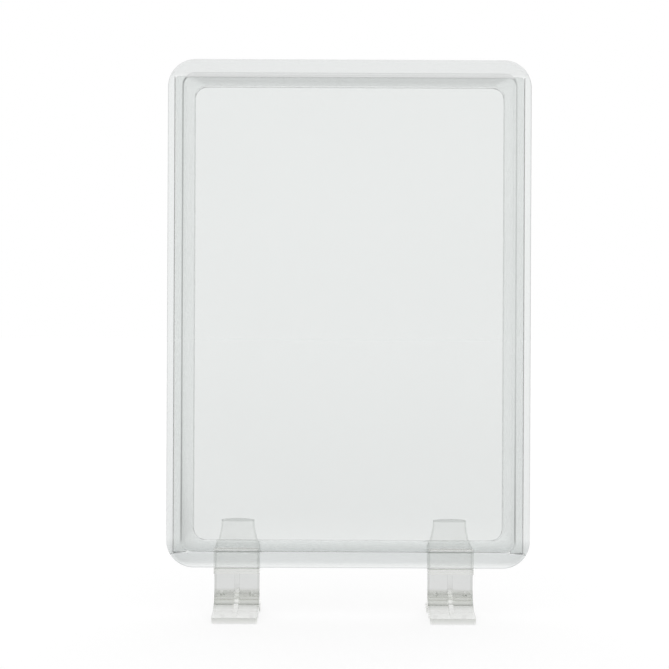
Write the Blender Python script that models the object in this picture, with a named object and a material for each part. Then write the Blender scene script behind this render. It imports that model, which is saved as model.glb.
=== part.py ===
"""A clear sign frame for a portrait A4 card, standing on two clip-on feet.

The frame is a front shell and a rear shell joined at their rims. A folded clear pocket slides into the channel
between them through a slot in the top edge. Each foot grips the bottom rim and slides along it.
X runs along the frame's width, the front faces -Y, and Z points up from the surface it stands on.
"""

import math

import bmesh
import bpy

# Frame outline
FRAME_WIDTH = 0.218
FRAME_HEIGHT = 0.305
FRAME_DEPTH = 0.0094
CORNER_RADIUS = 0.0165
WINDOW_RADIUS = 0.007
RIM_WIDTH = 0.016

# Section of the front shell, from its outer edge to the window
RIM_BAND = 0.0094
OUTER_ROUNDING = 0.0028
STEP_DEPTH = 0.0012
STEP_WIDTH = 0.0006
WINDOW_EDGE = 0.0014
WINDOW_ROUNDING = 0.0004

# Section of the rear shell
REAR_THICKNESS = 0.0027
REAR_ROUNDING = 0.0012

# Card channel and its pocket
SIDE_WALL = 0.0037
BOTTOM_WALL = 0.0084
MOUTH_DEPTH = 0.0115
WALL_END_ANGLE = 30
POCKET_THICKNESS = 0.0019
POCKET_FILM = 0.0005
POCKET_DROP = 0.01
POCKET_CORNER = 0.003

# Feet
LEFT_FOOT_INSET = 0.0425
RIGHT_FOOT_INSET = 0.0476
FOOT_WIDTH = 0.027
RIM_HEIGHT = 0.0291
TOE_REACH = 0.0245
TOE_THICKNESS = 0.0037
TOE_ROOT = 0.0052
TOE_ROUNDING = 0.0008
TOE_CORNER = 0.002
FLARE_RADIUS = 0.0115
UPRIGHT_THICKNESS = 0.0034
ARCH_HALF_WIDTH = 0.0075
ARCH_HEIGHT = 0.007
ARCH_COVER = 0.001
ARCH_START = 20
CHANNEL_FLOOR = 0.0026
JAW_THICKNESS = 0.0022
HOOK_HEIGHT = 0.0028
HOOK_LEAD = 0.0008
TONGUE_TOP = 0.0578
TONGUE_TIP = 0.0016
TONGUE_TOP_WIDTH = 0.0196
TONGUE_SHOULDER = 0.0405
TONGUE_ARCH = 0.0008
TONGUE_FLAT_WIDTH = 0.003
RIB_THICKNESS = 0.003
RIB_NECK = 0.0017
RIB_NECK_HEIGHT = 0.0215
RIB_HEIGHT = 0.002
SLOT_WIDTH = 0.0026
SLOT_HEIGHT = 0.0031
SLOT_BOTTOM = 0.0124
SLOT_OFFSET = 0.0087
SLOT_SKIN = 0.0023

# Fits
CLEARANCE = 0.0003

# Facets of the round stretches
CORNER_FACETS = 9
EDGE_FACETS = 4
FLARE_FACETS = 10
ARCH_FACETS = 12
FLANK_FACETS = 8
CROWN_FACETS = 4
SHARP_ANGLE = 30

# How far a cutter runs past the piece, and how near two points count as one
CUT_MARGIN = 0.001
SAME_PLACE = 0.000001

# Positions worked out from the sizes above
FRONT_FACE = -FRAME_DEPTH / 2
REAR_FACE = FRAME_DEPTH / 2
REAR_INNER_FACE = REAR_FACE - REAR_THICKNESS
WALL_BACK = REAR_INNER_FACE - CLEARANCE
POCKET_BACK = REAR_INNER_FACE - CLEARANCE
POCKET_FRONT = POCKET_BACK - POCKET_THICKNESS
LIP_BACK = POCKET_FRONT - CLEARANCE
RIM_TOP = RIM_HEIGHT + FRAME_HEIGHT
CHANNEL_HALF_WIDTH = FRAME_WIDTH / 2 - SIDE_WALL
CHANNEL_BOTTOM = RIM_HEIGHT + BOTTOM_WALL
MOUTH_BOTTOM = RIM_TOP - MOUTH_DEPTH
LEFT_FOOT_X = LEFT_FOOT_INSET - FRAME_WIDTH / 2
RIGHT_FOOT_X = FRAME_WIDTH / 2 - RIGHT_FOOT_INSET
JAW_INNER = FRAME_DEPTH / 2 + CLEARANCE
JAW_OUTER = JAW_INNER + JAW_THICKNESS
FLOOR_TOP = RIM_HEIGHT - CLEARANCE
FLOOR_BOTTOM = FLOOR_TOP - CHANNEL_FLOOR
HOOK_BOTTOM = RIM_HEIGHT + RIM_BAND + CLEARANCE
HOOK_TOP = HOOK_BOTTOM + HOOK_HEIGHT
HOOK_NOSE = FRONT_FACE + STEP_DEPTH - CLEARANCE
UPRIGHT_FACE = UPRIGHT_THICKNESS / 2
SLOT_FLOOR = UPRIGHT_FACE - SLOT_SKIN
FLARE_TOP = TOE_ROOT + FLARE_RADIUS
FLARE_END = UPRIGHT_FACE + FLARE_RADIUS


def clear_scene():
    """Remove every object of the open scene."""
    for obj in list(bpy.data.objects):
        bpy.data.objects.remove(obj, do_unlink=True)


def clear_plastic(name, colour, roughness, ior):
    """Return a clear plastic material."""
    material = bpy.data.materials.new(name)
    material.use_nodes = True
    shader = material.node_tree.nodes["Principled BSDF"]
    shader.inputs["Base Color"].default_value = (*colour, 1.0)
    shader.inputs["Roughness"].default_value = roughness
    shader.inputs["Metallic"].default_value = 0.0
    shader.inputs["IOR"].default_value = ior
    shader.inputs["Transmission Weight"].default_value = 1.0
    material.diffuse_color = (*colour, 0.4)
    return material


def arc(centre, radius, start, end, facets):
    """Return points on an arc from start to end, in degrees, both ends included."""
    points = []
    for i in range(facets + 1):
        angle = math.radians(start + (end - start) * i / facets)
        points.append((centre[0] + radius * math.cos(angle), centre[1] + radius * math.sin(angle)))
    return points


def rounded_rectangle(inset, radius):
    """Return the (x, z) outline of the frame moved inward by inset, with round corners."""
    half = FRAME_WIDTH / 2 - inset - radius
    low = RIM_HEIGHT + inset + radius
    high = RIM_TOP - inset - radius
    corners = ((half, low, -90), (half, high, 0), (-half, high, 90), (-half, low, 180))
    points = []
    for x, z, start in corners:
        points += arc((x, z), radius, start, start + 90, CORNER_FACETS)
    return points


def corner_radius_at(inset):
    """Return the corner radius of the frame's outline at this distance in from its outer edge."""
    return max(CORNER_RADIUS - inset, WINDOW_RADIUS)


def finish_mesh(name, mesh_data, material):
    """Turn a bmesh into a named object with flat normals on its sharp edges."""
    bmesh.ops.recalc_face_normals(mesh_data, faces=mesh_data.faces)
    mesh = bpy.data.meshes.new(name)
    mesh_data.to_mesh(mesh)
    mesh_data.free()
    mesh.shade_smooth()
    mesh.set_sharp_from_angle(angle=math.radians(SHARP_ANGLE))
    obj = bpy.data.objects.new(name, mesh)
    bpy.context.collection.objects.link(obj)
    if material is not None:
        mesh.materials.append(material)
    return obj


def ring_solid(name, section, material):
    """Sweep a closed section of (inset, depth) points round the frame's outline."""
    mesh_data = bmesh.new()
    loops = []
    for inset, depth in section:
        outline = rounded_rectangle(inset, corner_radius_at(inset))
        loops.append([mesh_data.verts.new((x, depth, z)) for x, z in outline])
    for i, loop in enumerate(loops):
        other = loops[(i + 1) % len(loops)]
        for j in range(len(loop)):
            k = (j + 1) % len(loop)
            mesh_data.faces.new((loop[j], loop[k], other[k], other[j]))
    return finish_mesh(name, mesh_data, material)


def prism(name, outline, axis, low, high, material=None):
    """Extrude a flat outline along an axis (0 X, 1 Y, 2 Z), from low to high; it is drawn in the other two."""
    mesh_data = bmesh.new()
    corners = []
    for point in outline:
        place = list(point)
        place.insert(axis, low)
        corners.append(mesh_data.verts.new(place))
    side = mesh_data.faces.new(corners)
    grown = bmesh.ops.extrude_face_region(mesh_data, geom=[side])["geom"]
    moved = [item for item in grown if isinstance(item, bmesh.types.BMVert)]
    travel = [0.0, 0.0, 0.0]
    travel[axis] = high - low
    bmesh.ops.translate(mesh_data, verts=moved, vec=travel)
    return finish_mesh(name, mesh_data, material)


def as_helper(obj):
    """Mark an object as a guide that isn't part of the product."""
    obj.hide_render = True
    obj.display_type = "WIRE"
    return obj


def combine(target, tool, operation):
    """Cut a helper from the target, or join it on, and keep the modifier live."""
    modifier = target.modifiers.new(f"{operation.lower()}_{tool.name}", "BOOLEAN")
    modifier.operation = operation
    modifier.solver = "EXACT"
    modifier.object = as_helper(tool)


def front_section():
    """Return the front shell's section: round outer edge, flat rim, step, slope and window edge."""
    round_centre = (OUTER_ROUNDING, FRONT_FACE + OUTER_ROUNDING)
    section = arc(round_centre, OUTER_ROUNDING, 180, 270, EDGE_FACETS)
    section.append((RIM_BAND - STEP_WIDTH, FRONT_FACE))
    section.append((RIM_BAND, FRONT_FACE + STEP_DEPTH))
    section.append((RIM_WIDTH - WINDOW_ROUNDING, LIP_BACK - WINDOW_EDGE))
    section.append((RIM_WIDTH, LIP_BACK - WINDOW_EDGE + WINDOW_ROUNDING))
    section.append((RIM_WIDTH, WALL_BACK))
    section.append((0.0, WALL_BACK))
    return section


def rear_section():
    """Return the rear shell's section: a flat bar with its rear edges eased."""
    section = [(0.0, REAR_INNER_FACE)]
    round_centre = (REAR_ROUNDING, REAR_FACE - REAR_ROUNDING)
    section += arc(round_centre, REAR_ROUNDING, 180, 90, EDGE_FACETS)
    section.append((RIM_WIDTH - WINDOW_ROUNDING, REAR_FACE))
    section.append((RIM_WIDTH, REAR_FACE - WINDOW_ROUNDING))
    section.append((RIM_WIDTH, REAR_INNER_FACE))
    return section


def build_front_shell(material):
    """Model the front moulding, with the card channel cut into its back and open at the top."""
    shell = ring_solid("front_shell", front_section(), material)
    beyond = FRAME_WIDTH / 2 + CUT_MARGIN
    wall_middle = CHANNEL_HALF_WIDTH + SIDE_WALL / 2
    wall_end = arc((wall_middle, MOUTH_BOTTOM), SIDE_WALL / 2, 180, WALL_END_ANGLE, EDGE_FACETS)
    half = [(CHANNEL_HALF_WIDTH, CHANNEL_BOTTOM)]
    half += wall_end
    half.append((beyond, wall_end[-1][1]))
    half.append((beyond, RIM_TOP + CUT_MARGIN))
    channel = half + [(-x, z) for x, z in reversed(half)]
    cutter = prism("channel_cut", channel, 1, LIP_BACK, WALL_BACK + CUT_MARGIN)
    combine(shell, cutter, "DIFFERENCE")
    return shell


def build_pocket(material):
    """Model the clear film pocket: two leaves joined by a round fold along the bottom."""
    low = CHANNEL_BOTTOM + CLEARANCE
    high = RIM_TOP - POCKET_DROP
    outer = POCKET_THICKNESS / 2
    middle = (POCKET_FRONT + POCKET_BACK) / 2
    centre = (middle, low + outer)
    outline = [(POCKET_FRONT, high)]
    outline += arc(centre, outer, 180, 360, EDGE_FACETS * 2)
    outline += [(POCKET_BACK, high), (POCKET_BACK - POCKET_FILM, high)]
    outline += arc(centre, outer - POCKET_FILM, 360, 180, EDGE_FACETS * 2)
    outline.append((POCKET_FRONT + POCKET_FILM, high))
    half_width = CHANNEL_HALF_WIDTH - CLEARANCE
    pocket = prism("card_pocket", outline, 0, -half_width, half_width, material)
    round_top_corners(pocket.data, high)
    return pocket


def round_top_corners(mesh, high):
    """Round the two top corners of each leaf of the pocket."""
    mesh_data = bmesh.new()
    mesh_data.from_mesh(mesh)
    edges = []
    for edge in mesh_data.edges:
        first, last = (vert.co for vert in edge.verts)
        runs_back = abs(first.x - last.x) < SAME_PLACE and abs(first.z - last.z) < SAME_PLACE
        if runs_back and abs(first.z - high) < SAME_PLACE:
            edges.append(edge)
    rounding = {"offset": POCKET_CORNER, "segments": EDGE_FACETS, "profile": 0.5, "affect": "EDGES"}
    bmesh.ops.bevel(mesh_data, geom=edges, **rounding)
    mesh_data.to_mesh(mesh)
    mesh_data.free()


def toe_outline(side):
    """Return the top of a toe from its tip to the upright; side is -1 for the front and 1 for the rear."""
    tip = (TOE_REACH - TOE_ROUNDING, TOE_THICKNESS - TOE_ROUNDING)
    points = [(TOE_REACH, 0.0)]
    points += arc(tip, TOE_ROUNDING, 0, 90, EDGE_FACETS)
    points += arc((FLARE_END, FLARE_TOP), FLARE_RADIUS, 270, 180, FLARE_FACETS)
    return [(side * y, z) for y, z in points]


def arch_outline(cover, start):
    """Return the arch between the toes, grown by cover, from the rear to the front; start is in degrees."""
    points = []
    for i in range(ARCH_FACETS + 1):
        angle = math.radians(start + (180 - 2 * start) * i / ARCH_FACETS)
        across = (ARCH_HALF_WIDTH + cover) * math.cos(angle)
        points.append((across, (ARCH_HEIGHT + cover) * math.sin(angle)))
    return points


def foot_section():
    """Return the foot's side outline: base, upright, channel floor, hooked front jaw and tall rear jaw."""
    rear_jaw = [
        (UPRIGHT_FACE, FLOOR_BOTTOM),
        (JAW_OUTER, FLOOR_BOTTOM),
        (JAW_OUTER, TONGUE_SHOULDER),
        (JAW_INNER + TONGUE_TIP, TONGUE_TOP),
        (JAW_INNER, TONGUE_TOP),
        (JAW_INNER, FLOOR_TOP),
    ]
    front_jaw = [
        (-JAW_INNER, FLOOR_TOP),
        (-JAW_INNER, HOOK_BOTTOM),
        (HOOK_NOSE, HOOK_BOTTOM),
        (HOOK_NOSE, HOOK_BOTTOM + HOOK_LEAD),
        (-JAW_INNER - HOOK_LEAD, HOOK_TOP),
        (-JAW_OUTER, HOOK_TOP - HOOK_LEAD),
        (-JAW_OUTER, FLOOR_BOTTOM),
        (-UPRIGHT_FACE, FLOOR_BOTTOM),
    ]
    front_toe = toe_outline(-1)
    arch = arch_outline(0.0, 0.0)
    return arch[::-1] + toe_outline(1) + rear_jaw + front_jaw + front_toe[::-1]


def rib_section():
    """Return the outline of the foot's central rib, from the channel floor to the toe tips."""
    neck = UPRIGHT_FACE + RIB_NECK
    rib_foot = TOE_THICKNESS + RIB_HEIGHT
    sweep = RIB_NECK_HEIGHT - rib_foot
    inset = TOE_ROUNDING + RIB_NECK
    half = [(neck, FLOOR_BOTTOM + CHANNEL_FLOOR / 2)]
    half += arc((neck + sweep, RIB_NECK_HEIGHT), sweep, 180, 270, FLARE_FACETS)
    half.append((TOE_REACH - inset, TOE_THICKNESS - TOE_ROUNDING))
    half.append((TOE_REACH - inset, TOE_THICKNESS / 2))
    front = [(-y, z) for y, z in half]
    return half + arch_outline(ARCH_COVER, ARCH_START) + front[::-1]


def flank_outline(side):
    """Return the piece cut from one flank of the tall jaw, so that it narrows towards its arched top."""
    half_top = TONGUE_TOP_WIDTH / 2
    half_flat = TONGUE_FLAT_WIDTH / 2
    spread = FOOT_WIDTH / 2 - half_top
    flank_height = TONGUE_TOP - TONGUE_ARCH - TONGUE_SHOULDER
    points = []
    for i in range(FLANK_FACETS):
        t = i / FLANK_FACETS
        points.append((half_top + spread * (1 - t) ** 2, TONGUE_SHOULDER + flank_height * t))
    for i in range(CROWN_FACETS + 1):
        t = 1 - i / CROWN_FACETS
        points.append((half_flat + (half_top - half_flat) * t, TONGUE_TOP - TONGUE_ARCH * t**2))
    points.append((half_flat, TONGUE_TOP + CUT_MARGIN))
    points.append((FOOT_WIDTH / 2 + CUT_MARGIN, TONGUE_TOP + CUT_MARGIN))
    points.append((FOOT_WIDTH / 2 + CUT_MARGIN, TONGUE_SHOULDER))
    return [(side * x, z) for x, z in points]


def slot_outline(side):
    """Return the outline of one of the two small recesses in the upright's front, beside the rib."""
    left = side * SLOT_OFFSET - SLOT_WIDTH / 2
    right = left + SLOT_WIDTH
    top = SLOT_BOTTOM + SLOT_HEIGHT
    return [(left, SLOT_BOTTOM), (right, SLOT_BOTTOM), (right, top), (left, top)]


def toe_corner_outline(side, face):
    """Return the piece cut from one corner of a toe, seen from above, so that the corner is round."""
    centre = (FOOT_WIDTH / 2 - TOE_CORNER, TOE_REACH - TOE_CORNER)
    points = arc(centre, TOE_CORNER, 0, 90, EDGE_FACETS)
    points.append((centre[0], TOE_REACH + CUT_MARGIN))
    points.append((FOOT_WIDTH / 2 + CUT_MARGIN, TOE_REACH + CUT_MARGIN))
    points.append((FOOT_WIDTH / 2 + CUT_MARGIN, centre[1]))
    return [(side * x, face * y) for x, y in points]


def build_foot(name, x, material):
    """Model one foot round X zero, then stand it at its place along the rim."""
    foot = prism(name, foot_section(), 0, -FOOT_WIDTH / 2, FOOT_WIDTH / 2, material)
    rib = prism(f"{name}_rib", rib_section(), 0, -RIB_THICKNESS / 2, RIB_THICKNESS / 2)
    combine(foot, rib, "UNION")
    cutters = []
    for side, end in ((-1, "left"), (1, "right")):
        cutters.append(prism(f"{name}_{end}_flank", flank_outline(side), 1, 0.0, JAW_OUTER + CUT_MARGIN))
        cutters.append(prism(f"{name}_{end}_slot", slot_outline(side), 1, -TOE_REACH, SLOT_FLOOR))
        for face, toe in ((-1, "front"), (1, "rear")):
            corner = toe_corner_outline(side, face)
            cutters.append(prism(f"{name}_{end}_{toe}_corner", corner, 2, -CUT_MARGIN, TOE_ROOT))
    for cutter in cutters:
        combine(foot, cutter, "DIFFERENCE")
    for helper in [rib, *cutters]:
        helper.parent = foot
    foot.location.x = x
    return foot


def main():
    """Model every piece of the stand at its place."""
    clear_scene()
    shell_plastic = clear_plastic("clear_shell", (0.93, 0.95, 0.945), 0.03, 1.49)
    film = clear_plastic("clear_film", (0.90, 0.925, 0.915), 0.08, 1.46)
    foot_plastic = clear_plastic("clear_foot", (0.90, 0.905, 0.885), 0.06, 1.57)
    build_front_shell(shell_plastic)
    ring_solid("rear_shell", rear_section(), shell_plastic)
    build_pocket(film)
    build_foot("left_foot", LEFT_FOOT_X, foot_plastic)
    build_foot("right_foot", RIGHT_FOOT_X, foot_plastic)


main()
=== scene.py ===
"""Clear sign stand for a portrait A4 card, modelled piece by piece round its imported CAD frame.

X runs along the frame's width, the front faces -Y, and Z points up from the floor. Sizes are in metres.
"""

import logging
import math
from collections.abc import Callable, Iterator, Sequence
from contextlib import contextmanager
from dataclasses import dataclass
from enum import Enum

import bmesh
import bpy
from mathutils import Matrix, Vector


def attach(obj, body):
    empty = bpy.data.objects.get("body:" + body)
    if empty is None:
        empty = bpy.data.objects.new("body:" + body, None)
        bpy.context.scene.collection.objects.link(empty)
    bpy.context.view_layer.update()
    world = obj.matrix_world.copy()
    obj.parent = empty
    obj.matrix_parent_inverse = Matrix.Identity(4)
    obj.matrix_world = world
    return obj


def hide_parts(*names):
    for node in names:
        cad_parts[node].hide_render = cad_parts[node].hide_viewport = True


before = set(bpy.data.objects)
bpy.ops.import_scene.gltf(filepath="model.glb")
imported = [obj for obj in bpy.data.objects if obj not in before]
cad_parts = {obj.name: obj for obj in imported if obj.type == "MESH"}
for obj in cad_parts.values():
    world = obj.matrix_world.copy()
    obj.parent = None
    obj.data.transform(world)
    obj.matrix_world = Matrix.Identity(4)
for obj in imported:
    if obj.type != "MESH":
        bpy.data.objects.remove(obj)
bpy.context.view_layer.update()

log = logging.getLogger("sign_stand")

MM = 0.001
CLOSE = 0.01 * MM
FACING = 0.99
FLAT_ANGLE = math.radians(0.3)
SMOOTH_ANGLE = math.radians(30)
SORT_LINE = Vector((1.0, 17.317, 301.713))
OWN_PLACE = "own_place"
WHITE = (1.0, 1.0, 1.0, 1.0)
BEYOND = (9.0, 10.0)

Piece = bpy.types.Object
Material = bpy.types.Material
Tree = bpy.types.ShaderNodeTree
Socket = bpy.types.NodeSocket
Span = tuple[float, float]
Triple = tuple[float, float, float]
Place = Sequence[float]
Feeds = dict[str | int, object]


class Part(Enum):
    """What an edit works on."""

    VERT = "VERT"
    EDGE = "EDGE"
    FACE = "FACE"


class Cut(Enum):
    """How a tool shape acts on a piece."""

    AWAY = "DIFFERENCE"
    ON = "UNION"


class Along(Enum):
    """Which way a bar lies."""

    WIDTH = "X"
    DEPTH = "Y"


class Ramp(Enum):
    """How a value changes over a span."""

    EVEN = "LINEAR"
    SMOOTH = "SMOOTHSTEP"


# Bench work


def clear_bench() -> None:
    """Leave edit mode and deselect every object."""
    active = bpy.context.view_layer.objects.active
    if active is not None and active.mode != "OBJECT":
        bpy.ops.object.mode_set(mode="OBJECT")
    bpy.ops.object.select_all(action="DESELECT")


def hold(piece: Piece) -> None:
    """Select only this piece and make it active.

    Args:
        piece: The piece.
    """
    clear_bench()
    piece.select_set(True)
    bpy.context.view_layer.objects.active = piece


@contextmanager
def editing(piece: Piece) -> Iterator[None]:
    """Work on a piece in edit mode with nothing picked, and leave edit mode after it.

    Args:
        piece: The piece to edit.
    """
    hold(piece)
    bpy.ops.object.mode_set(mode="EDIT")
    bpy.ops.mesh.select_mode(type=Part.VERT.value)
    bpy.ops.mesh.select_all(action="DESELECT")
    yield
    bpy.ops.object.mode_set(mode="OBJECT")


def pick(part: Part, test: Callable[..., bool]) -> None:
    """Pick what passes the test, in edit mode, and nothing else.

    Args:
        part: Whether verts, edges or faces are tested.
        test: Takes a vert's place, an edge's two places, or a face's middle and normal.
    """
    mesh = bmesh.from_edit_mesh(bpy.context.edit_object.data)
    bpy.ops.mesh.select_mode(type=part.value)
    bpy.ops.mesh.select_all(action="DESELECT")
    if part is Part.VERT:
        chosen = [vert for vert in mesh.verts if test(vert.co)]
    elif part is Part.EDGE:
        chosen = [edge for edge in mesh.edges if test(*(vert.co for vert in edge.verts))]
    else:
        chosen = [face for face in mesh.faces if test(face.calc_center_median(), face.normal)]
    for item in chosen:
        item.select_set(True)
    mesh.select_flush_mode()
    bmesh.update_edit_mesh(bpy.context.edit_object.data)


def pick_all() -> None:
    """Pick the whole piece, in edit mode."""
    bpy.ops.mesh.select_all(action="SELECT")


def near(first: float, second: float) -> bool:
    """Tell whether two lengths are the same but for rounding."""
    return abs(first - second) < CLOSE


def lies_at(a: Vector, b: Vector, reach: float, height: float) -> bool:
    """Tell whether an edge lies at this height, on one side, this far from the middle of the depth."""
    return a.y * b.y > 0 and all(near(abs(co.y), reach) and near(co.z, height) for co in (a, b))


def draw_out(*way: float) -> None:
    """Extrude what is picked along X, Y and Z, in edit mode."""
    bpy.ops.mesh.extrude_region_move(TRANSFORM_OT_translate={"value": way})


def round_off(reach: float, segments: int, affect: str = "EDGES") -> None:
    """Bevel what is picked, in edit mode."""
    bpy.ops.mesh.bevel(offset=reach, segments=segments, affect=affect)


def slice_all(place: Place, normal: Place) -> None:
    """Cut new edges into the whole piece along a plane, in edit mode."""
    pick_all()
    bpy.ops.mesh.bisect(plane_co=place, plane_no=normal)


def melt_flats() -> None:
    """Join the faces that lie in one plane, in edit mode, so that a bevel has clean ends."""
    pick_all()
    bpy.ops.mesh.dissolve_limited(angle_limit=FLAT_ANGLE)


def settle_place(piece: Piece) -> None:
    """Move a piece's place, turn and scale into its mesh."""
    hold(piece)
    bpy.ops.object.transform_apply(location=True, rotation=True, scale=True)


def settle_new(name: str, scale: Place) -> Piece:
    """Name, scale and settle the shape that was just added.

    Args:
        name: Its name.
        scale: Its scale along each axis.

    Returns:
        The shape.
    """
    piece = bpy.context.object
    piece.name = name
    piece.scale = scale
    settle_place(piece)
    return piece


def add_block(name: str, low: Place, high: Place) -> Piece:
    """Add a block between two corners.

    Args:
        name: The block's name.
        low: Its lowest corner.
        high: Its highest corner.

    Returns:
        The block, settled.
    """
    clear_bench()
    bpy.ops.mesh.primitive_cube_add(size=1.0, location=[(a + b) / 2 for a, b in zip(low, high)])
    return settle_new(name, [b - a for a, b in zip(low, high)])


def add_bar(middle: Place, half: Span, length: float, along: Along, sides: int) -> Piece:
    """Add a round or oval bar.

    Args:
        middle: Its middle.
        half: Its half width across and half height.
        length: Its length.
        along: Which way it lies.
        sides: How many sides its round has.

    Returns:
        The bar, settled.
    """
    clear_bench()
    across, height = half
    quarter = math.pi / 2
    turn = (0.0, quarter, 0.0) if along is Along.WIDTH else (quarter, 0.0, 0.0)
    bpy.ops.mesh.primitive_cylinder_add(vertices=sides, radius=1.0, depth=length, rotation=turn)
    bar = bpy.context.object
    settle_place(bar)
    bar.scale = (1.0, across, height) if along is Along.WIDTH else (across, 1.0, height)
    bar.location = middle
    settle_place(bar)
    return bar


def apply_modifier(piece: Piece, kind: str, **values: object) -> None:
    """Give a piece a modifier and apply it.

    Args:
        piece: The piece.
        kind: The modifier's type.
        values: The modifier's settings.
    """
    hold(piece)
    modifier = piece.modifiers.new(kind.lower(), kind)
    for key, value in values.items():
        setattr(modifier, key, value)
    bpy.ops.object.modifier_apply(modifier=modifier.name)


def number_by_place(piece: Piece) -> None:
    """Number a piece's points and faces by their place, because a cut leaves them in no fixed order.

    Args:
        piece: The piece.
    """
    old = piece.data
    order = sorted(range(len(old.vertices)), key=lambda i: old.vertices[i].co.dot(SORT_LINE))
    rank = {index: place for place, index in enumerate(order)}
    faces = []
    for polygon in old.polygons:
        corners = [rank[index] for index in polygon.vertices]
        first = corners.index(min(corners))
        faces.append(corners[first:] + corners[:first])
    fresh = bpy.data.meshes.new(piece.name)
    fresh.from_pydata([old.vertices[index].co for index in order], [], sorted(faces))
    piece.data = fresh
    bpy.data.meshes.remove(old)


def carve(piece: Piece, tool: Piece, cut: Cut) -> None:
    """Cut a tool shape out of a piece or join it on, and use the tool up.

    Args:
        piece: The piece.
        tool: The shape, removed afterwards.
        cut: Whether the shape is taken away or joined on.
    """
    apply_modifier(piece, "BOOLEAN", operation=cut.value, solver="EXACT", object=tool)
    bpy.data.objects.remove(tool, do_unlink=True)
    number_by_place(piece)


def tidy_surface(piece: Piece) -> None:
    """Merge doubles, turn every face the same way out and number what is left by its place.

    Args:
        piece: The piece.
    """
    with editing(piece):
        pick_all()
        bpy.ops.mesh.remove_doubles(threshold=CLOSE)
        bpy.ops.mesh.dissolve_degenerate(threshold=CLOSE / 2)
        pick_all()
        bpy.ops.mesh.normals_make_consistent(inside=False)
    number_by_place(piece)


def ease_edges(piece: Piece, radius: float, segments: int,
               share: Callable[[Vector], float] = lambda middle: 1.0) -> None:
    """Round the sharp edges of a piece a little.

    Args:
        piece: A closed piece.
        radius: The radius of a fully eased edge.
        segments: The facets of an eased edge.
        share: Gives the share of the radius at an edge's middle.
    """
    mesh = bmesh.new()
    mesh.from_mesh(piece.data)
    weight = mesh.edges.layers.float.new("bevel_weight_edge")
    for edge in mesh.edges:
        if len(edge.link_faces) == 2 and edge.calc_face_angle() > SMOOTH_ANGLE:
            edge[weight] = share((edge.verts[0].co + edge.verts[1].co) / 2)
    mesh.to_mesh(piece.data)
    mesh.free()
    apply_modifier(piece, "BEVEL", width=radius, segments=segments, limit_method="WEIGHT",
                   use_clamp_overlap=True)
    tidy_surface(piece)


def polish(piece: Piece) -> None:
    """Smooth the shading of a piece, with its flats kept flat and its sharp edges kept sharp.

    Args:
        piece: A closed piece.
    """
    hold(piece)
    bpy.ops.object.shade_smooth_by_angle(angle=SMOOTH_ANGLE)
    apply_modifier(piece, "WEIGHTED_NORMAL", mode="FACE_AREA", weight=100, keep_sharp=True)


def rounded_section(corners: Sequence[Triple], facets: int) -> list[Span]:
    """Round the corners of a closed section.

    Args:
        corners: Each corner's place in the section and its radius, 0 for a sharp one.
        facets: The facets of a quarter turn.

    Returns:
        The section's points in order.
    """
    points: list[Span] = []
    for i, (x, y, radius) in enumerate(corners):
        here = Vector((x, y))
        if radius <= 0:
            points.append((x, y))
            continue
        back = (Vector(corners[i - 1][:2]) - here).normalized()
        on = (Vector(corners[(i + 1) % len(corners)][:2]) - here).normalized()
        opening = back.angle(on)
        reach = radius / math.tan(opening / 2)
        centre = here + (back + on).normalized() * (radius / math.sin(opening / 2))
        start = here + back * reach - centre
        sweep = math.pi - opening
        turn = 1 if back.cross(on) < 0 else -1
        steps = max(2, math.ceil(facets * sweep / (math.pi / 2)))
        for step in range(steps + 1):
            angle = turn * sweep * step / steps
            cosine, sine = math.cos(angle), math.sin(angle)
            points.append((centre.x + start.x * cosine - start.y * sine,
                           centre.y + start.x * sine + start.y * cosine))
    return points


# Sizes that the pieces share


@dataclass(frozen=True)
class FrameSize:
    """The frame's outline and the layers of its depth."""

    width: float = 218 * MM
    height: float = 305 * MM
    rim_height: float = 29.1 * MM
    front_face: float = -4.7 * MM
    rear_face: float = 4.7 * MM
    corner_radius: float = 16.5 * MM
    window_radius: float = 7 * MM
    rim_width: float = 16 * MM
    lip_back: float = -0.5 * MM
    rear_inner: float = 2.0 * MM
    seam: float = 0.06 * MM
    hair: float = 0.01 * MM
    side_wall: float = 3.7 * MM
    bottom_wall: float = 8.4 * MM
    corner_facets: int = 22

    @property
    def top(self) -> float:
        """The height of the frame's top edge."""
        return self.rim_height + self.height

    @property
    def middle(self) -> float:
        """The height of the frame's middle."""
        return self.rim_height + self.height / 2

    @property
    def channel_half(self) -> float:
        """Half the width of the card channel."""
        return self.width / 2 - self.side_wall

    @property
    def channel_bottom(self) -> float:
        """The height of the card channel's bottom."""
        return self.rim_height + self.bottom_wall

    def corner_at(self, inset: float) -> float:
        """Give the corner radius of the outline at a distance in from the frame's edge."""
        return max(self.corner_radius - inset, self.window_radius)

    def outline(self, inset: float) -> list[Span]:
        """Give the frame's outline at a distance in from its edge.

        Args:
            inset: The distance in.

        Returns:
            The (x, z) points, counter-clockwise from the low right corner.
        """
        radius = self.corner_at(inset)
        across = self.width / 2 - inset - radius
        up = self.height / 2 - inset - radius
        points = []
        for quarter, (side, rise) in enumerate(((1, -1), (1, 1), (-1, 1), (-1, -1))):
            for step in range(self.corner_facets + 1):
                angle = math.pi / 2 * (quarter - 1 + step / self.corner_facets)
                points.append((side * across + radius * math.cos(angle),
                               self.middle + rise * up + radius * math.sin(angle)))
        return points


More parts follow.
